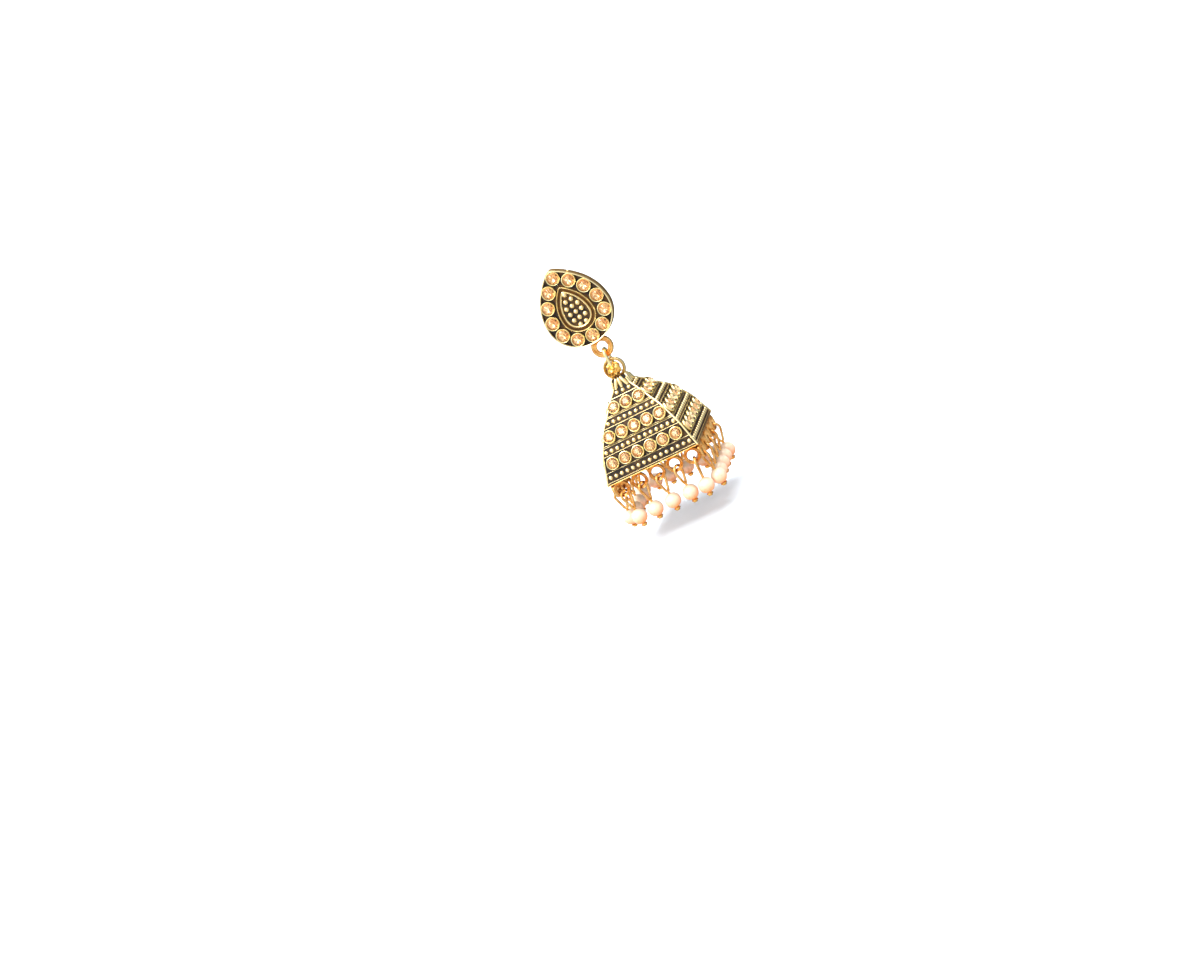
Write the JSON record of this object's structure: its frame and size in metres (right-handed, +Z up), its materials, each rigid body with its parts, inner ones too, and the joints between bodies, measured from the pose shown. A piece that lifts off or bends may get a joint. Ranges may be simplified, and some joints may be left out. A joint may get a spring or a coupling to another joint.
{
  "type": "jhumka earring",
  "caption": "Drop earring: a teardrop stud set with stones, a link, and a square bell with stones, granules and a fringe of pearl drops.",
  "frame": {"origin": "the ear post's axis at the plane of the stud's flat back, where the earring pins on", "axes": "+Z up, the earring hangs along -Z; +X to the right seen from the front; the front faces -Y and the post points along +Y"},
  "size_m": [0.0211, 0.0221, 0.048],
  "materials": {
    "antique_gold": "cast alloy, antique gold plate, bright on the relief and oxidised dark in the recesses",
    "bright_gold": "satin gold-plated brass wire",
    "pearl": "faux pearl, glossy pearl coat",
    "crystal": "faceted champagne rhinestone with a foiled back"
  },
  "bodies": {
    "stud": {"stud": "antique_gold", "ear_post": "bright_gold"},
    "link": {"link": "bright_gold", "eye_bead": "bright_gold"},
    "drop": {"bell": "antique_gold", "drop_wire_01": "bright_gold", "drop_wire_02": "bright_gold", "drop_wire_03": "bright_gold", "drop_wire_04": "bright_gold", "drop_wire_05": "bright_gold", "drop_wire_06": "bright_gold", "drop_wire_07": "bright_gold", "drop_wire_08": "bright_gold", "drop_wire_09": "bright_gold", "drop_wire_10": "bright_gold", "drop_wire_11": "bright_gold", "drop_wire_12": "bright_gold", "drop_wire_13": "bright_gold", "drop_wire_14": "bright_gold", "drop_wire_15": "bright_gold", "drop_wire_16": "bright_gold", "drop_wire_17": "bright_gold", "drop_wire_18": "bright_gold", "drop_wire_19": "bright_gold", "drop_wire_20": "bright_gold", "pearl_01": "pearl", "pearl_02": "pearl", "pearl_03": "pearl", "pearl_04": "pearl", "pearl_05": "pearl", "pearl_06": "pearl", "pearl_07": "pearl", "pearl_08": "pearl", "pearl_09": "pearl", "pearl_10": "pearl", "pearl_11": "pearl", "pearl_12": "pearl", "pearl_13": "pearl", "pearl_14": "pearl", "pearl_15": "pearl", "pearl_16": "pearl", "pearl_17": "pearl", "pearl_18": "pearl", "pearl_19": "pearl", "pearl_20": "pearl"}
  },
  "joints": [
    {"name": "link_swing", "type": "hinge", "parent": "stud", "child": "link", "pos_m": [0.00086, -0.00097, -0.0097], "axis": [1, 0, 0], "range_deg": [-75, 75]},
    {"name": "bell_sway", "type": "hinge", "parent": "link", "child": "drop", "pos_m": [0.00086, -0.00097, -0.01265], "axis": [0, 1, 0], "range_deg": [-70, 70]}
  ]
}
